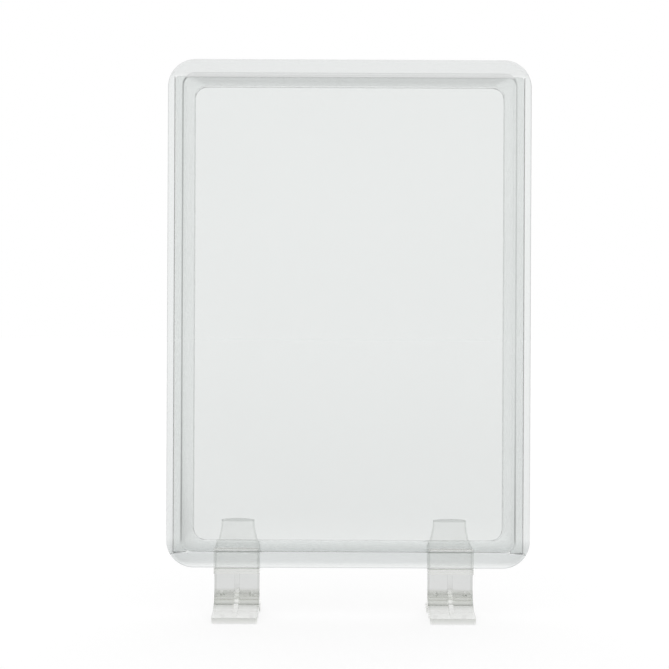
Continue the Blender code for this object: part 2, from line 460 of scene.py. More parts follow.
def sweep_ring(name: str, size: FrameSize, section: Sequence[Span]) -> Piece:
    """Draw a rounded outline through a closed section, one extrusion a step, into a solid ring.

    Args:
        name: The ring's name.
        size: The frame's sizes.
        section: The (inset, depth) points of the section in order.

    Returns:
        The ring.
    """
    first_inset, first_depth = section[0]
    clear_bench()
    bpy.ops.mesh.primitive_plane_add(size=1.0, location=(0, first_depth, size.middle),
                                     rotation=(math.pi / 2, 0, 0))
    ring = settle_new(name, (size.width - 2 * first_inset, size.height - 2 * first_inset, 1.0))
    with editing(ring):
        pick_all()
        round_off(size.corner_at(first_inset), size.corner_facets, "VERTICES")
        pick_all()
        bpy.ops.mesh.delete(type="ONLY_FACE")
        mesh = bmesh.from_edit_mesh(ring.data)
        order = mesh.verts.layers.int.new("order")
        places = [Vector((x, first_depth, z)) for x, z in size.outline(first_inset)]
        for vert in mesh.verts:
            vert[order] = min(range(len(places)), key=lambda i: (places[i] - vert.co).length)
        bmesh.update_edit_mesh(ring.data)
        bpy.ops.mesh.select_mode(type="EDGE")
        pick_all()
        for inset, depth in [*section[1:], section[0]]:
            bpy.ops.mesh.extrude_edges_move()
            mesh = bmesh.from_edit_mesh(ring.data)
            order = mesh.verts.layers.int["order"]
            places = size.outline(inset)
            for vert in mesh.verts:
                if vert.select:
                    x, z = places[vert[order]]
                    vert.co = (x, depth, z)
            bmesh.update_edit_mesh(ring.data)
    tidy_surface(ring)
    return ring


# Pieces


@dataclass
class FrontMoulding:
    """The front shell: a round outer edge, a flat raised rim, a step, a hollow slope and the window."""

    size: FrameSize
    outer_rounding: float = 2.8 * MM
    back_rounding: float = 0.12 * MM
    rim_band: float = 9.6 * MM
    step_depth: float = 1.2 * MM
    step_width: float = 0.9 * MM
    step_rounding: float = 0.7 * MM
    slope_end: float = -1.8 * MM
    slope_hollow: float = 0.22 * MM
    slope_radius: float = 24 * MM
    window_rounding: float = 0.15 * MM
    facets: int = 10
    mouth_depth: float = 10.6 * MM
    wall_end_depth: float = 11.5 * MM
    wall_end_sides: int = 48
    channel_corner: float = 0.8 * MM
    channel_corner_facets: int = 5
    channel_fillet: float = 1.0 * MM
    channel_fillet_facets: int = 4
    margin: float = 2 * MM
    tool_length: float = 40 * MM

    def section(self) -> list[Span]:
        """Give the section's points.

        Returns:
            The (inset, depth) points, from the back of the outer edge round to the back of the window.
        """
        size = self.size
        back = size.rear_inner - size.seam
        step_foot = size.front_face + self.step_depth
        hollow = (step_foot + self.slope_end) / 2 + self.slope_hollow
        corners = [
            (0.0, back, self.back_rounding),
            (0.0, size.front_face, self.outer_rounding),
            (self.rim_band - self.step_width, size.front_face + size.hair, self.step_rounding),
            (self.rim_band, step_foot, self.step_rounding),
            ((self.rim_band + size.rim_width) / 2, hollow, self.slope_radius),
            (size.rim_width, self.slope_end, self.window_rounding),
            (size.rim_width, back - size.hair, 0.0),
        ]
        return rounded_section(corners, self.facets)

    def channel_tool(self) -> Piece:
        """Shape the tool that cuts the card channel, with its wider mouth over the ends of the side walls.

        Returns:
            The tool.
        """
        size = self.size
        half, beyond = size.channel_half, size.width / 2 + self.margin
        front, back = size.lip_back, size.rear_inner + self.margin
        bottom, over = size.channel_bottom, size.top + self.margin
        tool = add_block("channel_tool", (-half, front, bottom), (half, back, over))
        with editing(tool):
            pick(Part.EDGE, lambda a, b: near(a.z, bottom) and near(b.z, bottom) and near(a.x, b.x))
            round_off(self.channel_corner, self.channel_corner_facets)
            pick(Part.FACE, lambda middle, normal: normal.y < -FACING)
            bpy.ops.mesh.region_to_loop()
            round_off(self.channel_fillet, self.channel_fillet_facets)
        mouth = size.top - self.mouth_depth
        carve(tool, add_block("mouth_tool", (-beyond, front, mouth), (beyond, back, over)), Cut.ON)
        radius = size.side_wall / 2
        for side in (-1, 1):
            middle = (side * (half + radius), 0.0, size.top - self.wall_end_depth)
            end = add_bar(middle, (radius, radius), self.tool_length, Along.DEPTH, self.wall_end_sides)
            carve(tool, end, Cut.AWAY)
        return tool

    def build(self) -> Piece:
        """Model the front shell.

        Returns:
            The finished piece.
        """
        piece = sweep_ring("front_moulding", self.size, self.section())
        carve(piece, self.channel_tool(), Cut.AWAY)
        tidy_surface(piece)
        polish(piece)
        return piece


@dataclass
class RearMoulding:
    """The rear shell: a flat ring that closes the card channel from behind."""

    size: FrameSize
    outer_rounding: float = 1.2 * MM
    seam_rounding: float = 0.12 * MM
    channel_rounding: float = 0.15 * MM
    window_rounding: float = 0.2 * MM
    facets: int = 8

    def build(self) -> Piece:
        """Model the rear shell.

        Returns:
            The finished piece.
        """
        size = self.size
        corners = [
            (0.0, size.rear_inner, self.seam_rounding),
            (size.rim_width, size.rear_inner + size.hair, self.channel_rounding),
            (size.rim_width, size.rear_face - size.hair, self.window_rounding),
            (0.0, size.rear_face, self.outer_rounding),
        ]
        piece = sweep_ring("rear_moulding", size, rounded_section(corners, self.facets))
        polish(piece)
        return piece


@dataclass
class FilmPocket:
    """The clear pocket: one sheet folded along the bottom, with the round top corners of both leaves."""

    size: FrameSize
    thickness: float = 1.9 * MM
    film: float = 0.5 * MM
    back: float = 1.7 * MM
    drop: float = 10 * MM
    corner: float = 3 * MM
    corner_sides: int = 64
    clearance: float = 0.3 * MM
    edge: float = 0.14 * MM
    edge_facets: int = 2
    columns: int = 24
    rows: int = 34
    fold_steps: int = 16
    wave: float = 0.07 * MM
    wave_end: float = 1.15
    slow_turns: Span = (4.1, 2.3)
    fast_turns: Span = (-2.2, 7.3)
    fast_start: float = 1.0
    fast_share: float = 0.6
    rear_share: float = -0.7
    margin: float = 2 * MM
    tool_depth: Span = (40 * MM, 60 * MM)

    def build(self) -> Piece:
        """Model the pocket.

        Returns:
            The finished piece.
        """
        size = self.size
        half = size.channel_half - self.clearance
        top = size.top - self.drop
        bend = self.thickness / 2
        fold = size.channel_bottom + self.clearance + bend
        middle = self.back - bend
        front = middle - bend + self.film / 2
        clear_bench()
        bpy.ops.mesh.primitive_grid_add(x_subdivisions=self.columns, y_subdivisions=self.rows, size=1.0,
                                        location=(0, front, (fold + top) / 2), rotation=(math.pi / 2, 0, 0))
        piece = settle_new("film_pocket", (2 * half, top - fold, 1.0))
        rise = (top - fold) / self.rows
        with editing(piece):
            pick(Part.EDGE, lambda a, b: near(a.z, fold) and near(b.z, fold))
            bpy.ops.mesh.spin(steps=self.fold_steps, angle=math.pi, center=(0, middle, fold), axis=(-1, 0, 0))
            for _ in range(self.rows):
                draw_out(0, 0, rise)
        self.ripple(piece, half, fold, top)
        tidy_surface(piece)
        apply_modifier(piece, "SOLIDIFY", thickness=self.film, offset=0.0, use_even_offset=True)
        for side in (-1, 1):
            carve(piece, self.corner_tool(side, half, top), Cut.AWAY)
        tidy_surface(piece)
        ease_edges(piece, self.edge, self.edge_facets)
        polish(piece)
        return piece

    def ripple(self, piece: Piece, half: float, fold: float, top: float) -> None:
        """Let the leaves lie a little out of true, as film does, and keep them in line at their edges.

        Args:
            piece: The folded sheet.
            half: Half the pocket's width.
            fold: The height where the fold begins.
            top: The height of its top edge.
        """
        for vert in piece.data.vertices:
            if vert.co.z <= fold + CLOSE:
                continue
            across = vert.co.x / half
            up = (vert.co.z - fold) / (top - fold)
            hold_in = (1 - across**2) * math.sin(math.pi * min(1.0, up * self.wave_end))
            share = 1.0 if vert.co.y < self.back - self.thickness / 2 else self.rear_share
            slow, fast = (turns[0] * across + turns[1] * up for turns in (self.slow_turns, self.fast_turns))
            sway = math.sin(slow) + self.fast_share * math.sin(fast + self.fast_start)
            vert.co.y += share * self.wave * hold_in * sway

    def corner_tool(self, side: int, half: float, top: float) -> Piece:
        """Shape the tool that rounds one top corner of both leaves.

        Args:
            side: -1 for the left corner, 1 for the right.
            half: Half the pocket's width.
            top: The height of its top edge.

        Returns:
            The tool.
        """
        x, z = side * (half - self.corner), top - self.corner
        end = side * (half + self.margin)
        block_depth, bar_length = self.tool_depth
        tool = add_block("corner_tool", (min(x, end), -block_depth / 2, z),
                         (max(x, end), block_depth / 2, top + self.margin))
        bar = add_bar((x, 0, z), (self.corner, self.corner), bar_length, Along.DEPTH, self.corner_sides)
        carve(tool, bar, Cut.AWAY)
        return tool


@dataclass
class ClipFoot:
    """A clip-on foot: two toes, an upright, a channel for the rim, a hooked front jaw and a tall rear jaw."""

    width: float = 27 * MM
    toe_reach: float = 24.5 * MM
    toe_thickness: float = 3.7 * MM
    toe_root: float = 6.7 * MM
    toe_corner: float = 2 * MM
    toe_corner_facets: int = 8
    flare: float = 10.6 * MM
    flare_facets: int = 20
    upright: float = 1.7 * MM
    floor_bottom: float = 26.2 * MM
    floor_top: float = 28.8 * MM
    jaw_inner: float = 5.0 * MM
    jaw_outer: float = 7.2 * MM
    hook_bottom: float = 38.8 * MM
    hook_top: float = 41.6 * MM
    hook_nose: float = 3.8 * MM
    hook_lead: float = 1.9 * MM
    hook_back: float = 0.8 * MM
    hook_back_facets: int = 4
    shoulder: float = 40.5 * MM
    tongue_top: float = 57.8 * MM
    tongue_arch: float = 0.8 * MM
    tongue_width: float = 19.6 * MM
    tongue_tip: float = 1.6 * MM
    tongue_steps: int = 10
    tongue_columns: int = 10
    arch_half: float = 7.5 * MM
    arch_height: float = 7 * MM
    arch_drop: float = 0.05 * MM
    arch_sides: int = 72
    roof_foot: float = 1 * MM
    roof_half: float = 4.8 * MM
    roof_corner: float = 1.2 * MM
    roof_corner_facets: int = 6
    rib: float = 3 * MM
    rib_neck: float = 2.3 * MM
    rib_neck_height: float = 20.5 * MM
    rib_neck_facets: int = 24
    rib_base: float = 1.2 * MM
    rib_foot: float = 5.7 * MM
    rib_sink: float = 1.0 * MM
    rib_reach: float = 22 * MM
    rib_end: float = 2.6 * MM
    rib_end_facets: int = 3
    slot_width: float = 2.6 * MM
    slot_bottom: float = 12.4 * MM
    slot_height: float = 3.1 * MM
    slot_offset: float = 8.7 * MM
    slot_floor: float = -0.6 * MM
    slot_taper: float = 1.9 * MM
    slot_point: float = 0.1
    easing: float = 0.78 * MM
    lower_easing: float = 0.39
    easing_facets: int = 4
    places: tuple[tuple[str, float], ...] = (("left", -66.5 * MM), ("right", 61.4 * MM))

    @property
    def tongue_edge(self) -> float:
        """The height of the tongue's top corners."""
        return self.tongue_top - self.tongue_arch

    def width_at(self, rise: float) -> float:
        """Give the rear jaw's width at a share of the way from its shoulder to its top corners."""
        return self.tongue_width + (self.width - self.tongue_width) * (1 - rise) ** 2

    def stem(self) -> Piece:
        """Model the toes, the upright and the channel's floor.

        Returns:
            The stem.
        """
        half, reach, root = self.width / 2, self.toe_reach, self.toe_root
        piece = add_block("clip_foot", (-half, -reach, 0), (half, reach, root))
        with editing(piece):
            for side in (-1, 1):
                slice_all((0, side * self.upright, 0), (0, 1, 0))
            pick(Part.VERT, lambda co: near(abs(co.y), reach) and near(co.z, root))
            bpy.ops.transform.translate(value=(0, 0, self.toe_thickness - root))
            pick(Part.FACE, lambda middle, normal: normal.z > FACING and abs(middle.y) < self.upright)
            draw_out(0, 0, self.floor_bottom - root)
            draw_out(0, 0, self.floor_top - self.floor_bottom)
            melt_flats()
            pick(Part.EDGE, lambda a, b: abs(a.x - b.x) > half and lies_at(a, b, self.upright, root))
            round_off(self.flare, self.flare_facets)
            pick(Part.EDGE, lambda a, b: near(a.x, b.x) and abs(a.z - b.z) > MM and all(
                near(abs(co.y), reach) for co in (a, b)))
            round_off(self.toe_corner, self.toe_corner_facets)
            slice_all((0, 0, self.floor_bottom), (0, 0, 1))
            for side in (-1, 1):
                pick(Part.FACE, lambda middle, normal: normal.y * side > FACING
                     and self.floor_bottom < middle.z < self.floor_top)
                draw_out(0, side * (self.jaw_outer - self.upright), 0)
                pick(Part.FACE, lambda middle, normal: middle.z > self.floor_bottom - CLOSE)
                bpy.ops.mesh.bisect(plane_co=(0, side * self.jaw_inner, 0), plane_no=(0, 1, 0))
        return piece

    def front_jaw(self, piece: Piece) -> None:
        """Draw the front jaw up from the channel's floor and give it its hook.

        Args:
            piece: The stem.
        """
        with editing(piece):
            pick(Part.FACE, lambda middle, normal: normal.z > FACING and middle.y < -self.jaw_inner
                 and middle.z > self.floor_top - CLOSE)
            draw_out(0, 0, self.hook_bottom - self.floor_top)
            draw_out(0, 0, self.hook_top - self.hook_bottom)
            pick(Part.FACE, lambda middle, normal: normal.y > FACING and middle.z > self.hook_bottom)
            draw_out(0, self.jaw_inner - self.hook_nose, 0)
            for face, reach, facets in ((self.hook_nose, self.hook_lead, 1),
                                        (self.jaw_outer, self.hook_back, self.hook_back_facets)):
                pick(Part.EDGE, lambda a, b: lies_at(a, b, face, self.hook_top))
                round_off(reach, facets)

    def rear_jaw(self, piece: Piece) -> None:
        """Draw the tall rear jaw up in steps, narrower and thinner each time, to its arched top.

        Args:
            piece: The stem.
        """
        full = self.jaw_outer - self.jaw_inner
        rise = (self.tongue_edge - self.shoulder) / self.tongue_steps
        with editing(piece):
            pick(Part.FACE, lambda middle, normal: normal.z > FACING and middle.y > self.jaw_inner
                 and middle.z > self.floor_top - CLOSE)
            draw_out(0, 0, self.shoulder - self.floor_top)
            width, depth = self.width, full
            for step in range(1, self.tongue_steps + 1):
                share = step / self.tongue_steps
                next_width, next_depth = self.width_at(share), full + (self.tongue_tip - full) * share
                draw_out(0, 0, rise)
                bpy.ops.transform.resize(
                    value=(next_width / width, next_depth / depth, 1.0),
                    center_override=(0.0, self.jaw_inner, self.shoulder + rise * step))
                width, depth = next_width, next_depth
            columns = [self.tongue_width * (column / self.tongue_columns - 0.5)
                       for column in range(1, self.tongue_columns)]
            for x in columns:
                pick(Part.FACE, lambda middle, normal: middle.z > self.tongue_edge - rise
                     and middle.y > self.jaw_inner - CLOSE)
                bpy.ops.mesh.bisect(plane_co=(x, 0, 0), plane_no=(1, 0, 0))
            for x in columns:
                lift = self.tongue_arch * (1 - (2 * x / self.tongue_width) ** 2)
                pick(Part.VERT, lambda co: near(co.z, self.tongue_edge) and near(co.x, x))
                bpy.ops.transform.translate(value=(0, 0, lift))

    def web(self) -> Piece:
        """Model the central rib that runs from the channel's floor down the upright and along both toes.

        Returns:
            The rib.
        """
        half, reach, foot = self.rib / 2, self.rib_reach, self.rib_foot
        rib = add_block("foot_rib", (-half, -reach, self.rib_base), (half, reach, foot))
        with editing(rib):
            for side in (-1, 1):
                slice_all((0, side * self.rib_neck, 0), (0, 1, 0))
            pick(Part.FACE, lambda middle, normal: normal.z > FACING and abs(middle.y) < self.rib_neck)
            draw_out(0, 0, self.floor_bottom + self.rib_sink - foot)
            melt_flats()
            for face, radius, facets in ((self.rib_neck, self.rib_neck_height - foot, self.rib_neck_facets),
                                         (reach, self.rib_end, self.rib_end_facets)):
                pick(Part.EDGE, lambda a, b: lies_at(a, b, face, foot))
                round_off(radius, facets)
        tidy_surface(rib)
        return rib

    def slot_tool(self, x: float) -> Piece:
        """Shape the tool that sinks one square recess into the front of the upright, tapered to a wedge.

        Args:
            x: The middle of the recess.

        Returns:
            The tool.
        """
        low = (x - self.slot_width / 2, -self.toe_reach, self.slot_bottom)
        high = (x + self.slot_width / 2, self.slot_floor, self.slot_bottom + self.slot_height)
        tool = add_block("slot_tool", low, high)
        with editing(tool):
            slice_all((0, self.slot_floor - self.slot_taper, 0), (0, 1, 0))
            pick(Part.FACE, lambda middle, normal: normal.y > FACING)
            bpy.ops.transform.resize(value=(self.slot_point, 1.0, 1.0), center_override=(x, 0.0, 0.0))
        return tool

    def tunnel_tool(self) -> Piece:
        """Shape the tool that cuts the tunnel between the toes, an arch with a flat roof and round corners.

        Returns:
            The tool.
        """
        over, roof = 2 * self.width, self.arch_height
        tool = add_block("tunnel_tool", (-over / 2, -self.roof_half, self.roof_foot),
                         (over / 2, self.roof_half, roof))
        with editing(tool):
            pick(Part.EDGE, lambda a, b: near(a.z, roof) and near(b.z, roof) and near(a.y, b.y))
            round_off(self.roof_corner, self.roof_corner_facets)
        arch = add_bar((0, 0, 0), (self.arch_half, roof - self.arch_drop), over, Along.WIDTH, self.arch_sides)
        carve(tool, arch, Cut.ON)
        return tool

    def mark_places(self, piece: Piece) -> None:
        """Write each point's own place on the foot for its satin toe ends and its painted shade, with x as a
        share of the half width there.

        Args:
            piece: The foot, before it is moved to its place.
        """
        marks = piece.data.attributes.new(OWN_PLACE, "FLOAT_VECTOR", "POINT")
        for vert, mark in zip(piece.data.vertices, marks.data):
            rise = (vert.co.z - self.shoulder) / (self.tongue_edge - self.shoulder)
            half = self.width_at(min(max(rise, 0.0), 1.0)) / 2
            mark.vector = (vert.co.x / half, vert.co.y, vert.co.z)

    def build(self) -> list[Piece]:
        """Model one foot and copy it to both places.

        Returns:
            The left foot and the right foot.
        """
        piece = self.stem()
        self.front_jaw(piece)
        self.rear_jaw(piece)
        tidy_surface(piece)
        carve(piece, self.web(), Cut.ON)
        carve(piece, self.tunnel_tool(), Cut.AWAY)
        tidy_surface(piece)
        ease_edges(piece, self.easing, self.easing_facets,
                   lambda middle: 1.0 if middle.z > self.shoulder and middle.y > 0 else self.lower_easing)
        for side in (-1, 1):
            carve(piece, self.slot_tool(side * self.slot_offset), Cut.AWAY)
        tidy_surface(piece)
        polish(piece)
        self.mark_places(piece)
        feet = []
        for side, x in self.places:
            hold(piece)
            bpy.ops.object.duplicate(linked=False)
            foot = bpy.context.object
            foot.name = foot.data.name = f"foot_{side}"
            foot.location.x = x
            settle_place(foot)
            feet.append(foot)
        bpy.data.objects.remove(piece, do_unlink=True)
        return feet


# Finishes


@dataclass
class Wiring:
    """A node tree, and short ways to add to it."""

    tree: Tree

    def feed(self, node: bpy.types.ShaderNode, feeds: Feeds) -> None:
        """Link sockets to a node's inputs, or set them.

        Args:
            node: The node.
            feeds: A socket or a plain value for each input, by name or number.
        """
        for name, value in feeds.items():
            if isinstance(value, Socket):
                self.tree.links.new(value, node.inputs[name])
            else:
                node.inputs[name].default_value = value

    def add(self, kind: str, feeds: Feeds | None = None, **values: object) -> bpy.types.ShaderNode:
        """Add a node.

        Args:
            kind: The node's type, without its first word.
            feeds: A socket or a plain value for each input, by name or number.
            values: The node's own settings.

        Returns:
            The node.
        """
        node = self.tree.nodes.new(f"ShaderNode{kind}")
        for name, value in values.items():
            setattr(node, name, value)
        self.feed(node, feeds or {})
        return node

    def maths(self, operation: str, *feeds: object) -> Socket:
        """Work out a value from sockets or numbers."""
        return self.add("Math", dict(enumerate(feeds)), operation=operation).outputs[0]

    def vector(self, operation: str, *feeds: object) -> bpy.types.NodeOutputs:
        """Work with vectors, and give both the Vector and the Value that come out."""
        return self.add("VectorMath", dict(enumerate(feeds)), operation=operation).outputs

    def noise(self, place: Socket, scale: object, detail: float, roughness: float) -> Socket:
        """Add a noise of this scale, detail and roughness over a place."""
        feeds = {"Vector": place, "Scale": scale, "Detail": detail, "Roughness": roughness}
        return self.add("TexNoise", feeds).outputs["Fac"]

    def mix(self, share: Socket, first: object, second: object, blend: str = "MIX") -> Socket:
        """Mix two colours by a share."""
        feeds = {"Factor": share, "A": first, "B": second}
        return self.add("Mix", feeds, data_type="RGBA", blend_type=blend).outputs["Result"]

    def ramp(self, value: Socket, span: Span, first: object = 0.0, last: object = 1.0,
             ramp: Ramp = Ramp.SMOOTH) -> Socket:
        """Turn a value that runs over a span into one that runs from first to last, and no further.

        Args:
            value: The value.
            span: Where the change starts and stops.
            first: A socket or number before the span.
            last: A socket or number after it.
            ramp: How it changes.

        Returns:
            The result.
        """
        start, stop = span
        feeds = {"Value": value, "From Min": start, "From Max": stop, "To Min": first, "To Max": last}
        return self.add("MapRange", feeds, interpolation_type=ramp.value).outputs["Result"]


@dataclass(frozen=True)
class MouldedSurface:
    """The effect that all the clear plastics share: flow marks, haze, fine scuffs and a drifting tint.

    Each noise has its scale, detail and roughness, but the flow marks take their scale from the plastic.
    """

    flow: Span = (2.0, 0.45)
    drift: Triple = (6.0, 3.0, 0.5)
    cloud: Triple = (42.0, 5.0, 0.6)
    grain: Triple = (900.0, 3.0, 0.55)
    hair: Triple = (1500.0, 2.0, 0.5)
    hair_stretch: Triple = (1.0, 1.0, 0.06)
    hair_lean: float = math.radians(24)
    drift_span: Span = (0.3, 0.7)
    haze_span: Span = (0.42, 0.75)
    hair_span: Span = (0.66, 0.74)
    patch_span: Span = (0.48, 0.62)
    scuff_roughness: float = 0.3
    scuff_depth: float = 0.02
    grain_depth: float = 0.004

    def make(self) -> Tree:
        """Make the effect's node group.

        Returns:
            The group.
        """
        group = bpy.data.node_groups.new("MouldedSurface", "ShaderNodeTree")
        for way, name, kind in (
            ("INPUT", "Place", "Vector"), ("INPUT", "Tint", "Color"), ("INPUT", "Deep Tint", "Color"),
            ("INPUT", "Flow Scale", "Float"), ("INPUT", "Polish", "Float"), ("INPUT", "Haze", "Float"),
            ("INPUT", "Scuffs", "Float"),
            ("OUTPUT", "Colour", "Color"), ("OUTPUT", "Roughness", "Float"), ("OUTPUT", "Height", "Float"),
        ):
            group.interface.new_socket(name=name, in_out=way, socket_type=f"NodeSocket{kind}")
        wiring = Wiring(group)
        entry = group.nodes.new("NodeGroupInput").outputs
        leave = group.nodes.new("NodeGroupOutput")
        place = entry["Place"]
        flow = wiring.noise(place, entry["Flow Scale"], *self.flow)
        drift, cloud, grain = (wiring.noise(place, *marks) for marks in (self.drift, self.cloud, self.grain))
        lean = {"Vector": place, "Scale": self.hair_stretch, "Rotation": (0.0, self.hair_lean, 0.0)}
        hair = wiring.noise(wiring.add("Mapping", lean).outputs["Vector"], *self.hair)
        drifted, hazed, haired, patched = (
            wiring.ramp(value, span, ramp=Ramp.EVEN)
            for value, span in ((drift, self.drift_span), (cloud, self.haze_span), (hair, self.hair_span),
                                (cloud, self.patch_span)))
        scuffs = wiring.maths("MULTIPLY", wiring.maths("MULTIPLY", haired, patched), entry["Scuffs"])
        haze = wiring.maths("ADD", entry["Polish"], wiring.maths("MULTIPLY", hazed, entry["Haze"]))
        height = wiring.maths("ADD", flow, wiring.maths("MULTIPLY", grain, self.grain_depth))
        wiring.feed(leave, {
            "Colour": wiring.mix(drifted, entry["Tint"], entry["Deep Tint"]),
            "Roughness": wiring.maths("ADD", haze, wiring.maths("MULTIPLY", scuffs, self.scuff_roughness)),
            "Height": wiring.maths("SUBTRACT", height, wiring.maths("MULTIPLY", scuffs, self.scuff_depth)),
        })
        return group


@dataclass(frozen=True)
class PaintedShadeZone:
    """A stretch along one axis, the same on both sides of the middle, where shade is painted into a plastic's
    tint.

    Without ends it goes on to the end of the piece. It can spare a strip along the middle of the width.
    """

    axis: str
    # How dark the painted shade is: a colour that the tint is multiplied by.
    tint: Triple
    begins: Span
    ends: Span = BEYOND
    spares: Span | None = None


@dataclass(frozen=True)
class ClearPlastic:
    """A clear moulded plastic."""

    name: str
    tint: Triple
    deep_tint: Triple
    ior: float
    polish: float
    haze: float
    scuffs: float
    flow_scale: float
    flow_depth: float
    body_colour: Triple
    body_density: float
    # Bands of painted shade, where the tint is darkened.
    shade_zones: tuple[PaintedShadeZone, ...] = ()
    satin_end: Span | None = None
    satin: float = 0.5
    own_place: str | None = None
    shown_alpha: float = 0.4

    def paint_shade(self, wiring: Wiring, reach: bpy.types.NodeOutputs, colour: Socket) -> Socket:
        """Paint shade into the tint in each zone, where the clear plastic reads darker.

        Args:
            wiring: The material's nodes.
            reach: The distance from the middle along each axis.
            colour: The tint elsewhere.

        Returns:
            The tint everywhere.
        """
        for zone in self.shade_zones:
            shade_mask = wiring.ramp(reach[zone.axis], zone.ends, wiring.ramp(reach[zone.axis], zone.begins), 0.0)
            if zone.spares is not None:
                shade_mask = wiring.ramp(reach["X"], zone.spares, 0.0, shade_mask)
            colour = wiring.mix(shade_mask, colour, (*zone.tint, 1.0), "MULTIPLY")
        return colour

    def make(self, effect: Tree) -> Material:
        """Make the material.

        Args:
            effect: The shared surface effect.

        Returns:
            The material.
        """
        material = bpy.data.materials.new(self.name)
        material.use_nodes = True
        material.diffuse_color = (*self.tint, self.shown_alpha)
        material.cycles.use_bump_map_correction = False
        nodes, wiring = material.node_tree.nodes, Wiring(material.node_tree)
        place = wiring.add("TexCoord").outputs["Object"]
        surface = wiring.add("Group", node_tree=effect)
        wiring.feed(surface, {
            "Place": place, "Tint": (*self.tint, 1.0), "Deep Tint": (*self.deep_tint, 1.0),
            "Flow Scale": self.flow_scale, "Polish": self.polish, "Haze": self.haze, "Scuffs": self.scuffs,
        })
        if self.own_place is not None:
            place = wiring.add("Attribute", attribute_name=self.own_place).outputs["Vector"]
        reach = wiring.add("SeparateXYZ", {"Vector": wiring.vector("ABSOLUTE", place)["Vector"]}).outputs
        rough = surface.outputs["Roughness"]
        if self.satin_end is not None:
            rough = wiring.ramp(reach["Y"], self.satin_end, rough, self.satin)
        bump = {"Strength": 1.0, "Distance": self.flow_depth, "Height": surface.outputs["Height"]}
        body = {"Color": (*self.body_colour, 1.0), "Density": self.body_density}
        wiring.feed(nodes["Principled BSDF"], {
            "Transmission Weight": 1.0, "Metallic": 0.0, "IOR": self.ior, "Roughness": rough,
            "Base Color": self.paint_shade(wiring, reach, surface.outputs["Colour"]),
            "Normal": wiring.add("Bump", bump).outputs["Normal"],
        })
        volume = wiring.add("VolumeAbsorption", body).outputs["Volume"]
        wiring.feed(nodes["Material Output"], {"Volume": volume})
        return material


SHELL_PLASTIC = ClearPlastic(
    name="clear_shell_plastic",
    tint=(0.993, 0.996, 0.995), deep_tint=(0.987, 0.991, 0.99),
    ior=1.49, polish=0.008, haze=0.015, scuffs=0.3,
    flow_scale=16.0, flow_depth=0.00001,
    body_colour=(0.72, 0.75, 0.745), body_density=28.0,
    # Painted shade: darker bands along the frame's bottom rim, along its top rim and down its outer sides.
    shade_zones=(
        PaintedShadeZone("Z", (0.87, 0.877, 0.877), begins=(29.5 * MM, 33.5 * MM), ends=(36 * MM, 48 * MM)),
        PaintedShadeZone("Z", (0.925, 0.927, 0.926), begins=(323.6 * MM, 325.2 * MM)),
        PaintedShadeZone("X", (0.96, 0.963, 0.962), begins=(104.6 * MM, 105.6 * MM)),
    ))
POCKET_FILM = ClearPlastic(
    name="clear_film_plastic",
    tint=(0.897, 0.907, 0.903), deep_tint=(0.89, 0.90, 0.896),
    ior=1.46, polish=0.012, haze=0.025, scuffs=0.4,
    flow_scale=9.0, flow_depth=0.00003,
    body_colour=(0.82, 0.86, 0.845), body_density=20.0)
# The rib's strip, as a share of the half width, that the painted shade over the toe roots spares, and where
# the toe ends begin.
RIB_SHARE = (0.08, 0.12)
TOE_END = (24.2 * MM, 24.45 * MM)
FOOT_PLASTIC = ClearPlastic(
    name="clear_foot_plastic",
    tint=(0.965, 0.967, 0.965), deep_tint=(0.958, 0.961, 0.957),
    ior=1.55, polish=0.012, haze=0.03, scuffs=0.5,
    flow_scale=60.0, flow_depth=0.000002,
    body_colour=(0.76, 0.77, 0.74), body_density=60.0,
    # Painted shade: a dark band over the flared toe roots with the rib spared, a dark upright up to the
    # channel, a dark line along the tongue's top, darker outer sides, and darker toe ends, which are also
    # satin.
    shade_zones=(
        PaintedShadeZone("Z", (0.69, 0.698, 0.68), begins=(5 * MM, 7 * MM), ends=(15.6 * MM, 16.6 * MM),
                 spares=RIB_SHARE),
        PaintedShadeZone("Z", (0.75, 0.755, 0.755), begins=(15.6 * MM, 16.6 * MM), ends=(25 * MM, 29 * MM)),
        PaintedShadeZone("Z", (0.8, 0.81, 0.805), begins=(55.5 * MM, 56.3 * MM)),
        PaintedShadeZone("X", (0.9, 0.905, 0.9), begins=(0.87, 0.93)),
        PaintedShadeZone("Y", (0.95, 0.953, 0.95), begins=TOE_END),
    ),
    satin_end=TOE_END, own_place=OWN_PLACE)


def dress(piece: Piece, material: Material) -> None:
    """Give a piece its one material."""
    piece.data.materials.clear()
    piece.data.materials.append(material)


# Studio


